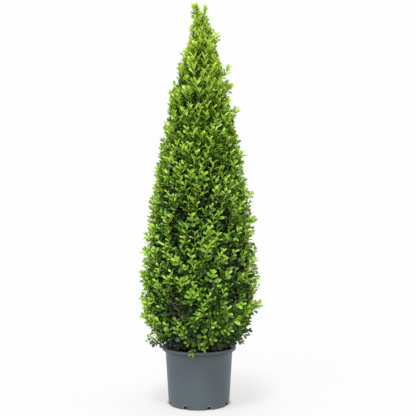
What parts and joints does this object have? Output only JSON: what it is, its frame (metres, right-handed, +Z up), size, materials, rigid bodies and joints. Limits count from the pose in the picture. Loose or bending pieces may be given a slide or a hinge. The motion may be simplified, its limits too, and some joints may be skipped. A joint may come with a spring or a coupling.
{
  "type": "potted box cone topiary",
  "caption": "Clipped evergreen box cone on a single trunk, with ragged new shoots, growing in a round tapered nursery pot filled with soil.",
  "frame": {"origin": "centre of the pot's flat underside, on the floor it stands on", "axes": "+Z up along the pot's axis, -Y towards the camera, +X to the right of the picture"},
  "size_m": [0.4596, 0.4526, 1.5174],
  "materials": {
    "pot_plastic": "satin",
    "potting_soil": "matte",
    "bark": "matte",
    "foliage_dark": "satin",
    "foliage": "satin",
    "foliage_light": "satin"
  },
  "bodies": {
    "root": {"pot": "pot_plastic", "soil": "potting_soil", "trunk": "bark", "bough_1": "bark", "bough_2": "bark", "bough_3": "bark", "bough_4": "bark", "bough_5": "bark", "bough_6": "bark", "crown_skirt": "foliage_dark", "crown_belly": "foliage", "crown_waist": "foliage", "crown_shoulder": "foliage", "crown_spire": "foliage_light"}
  },
  "joints": []
}
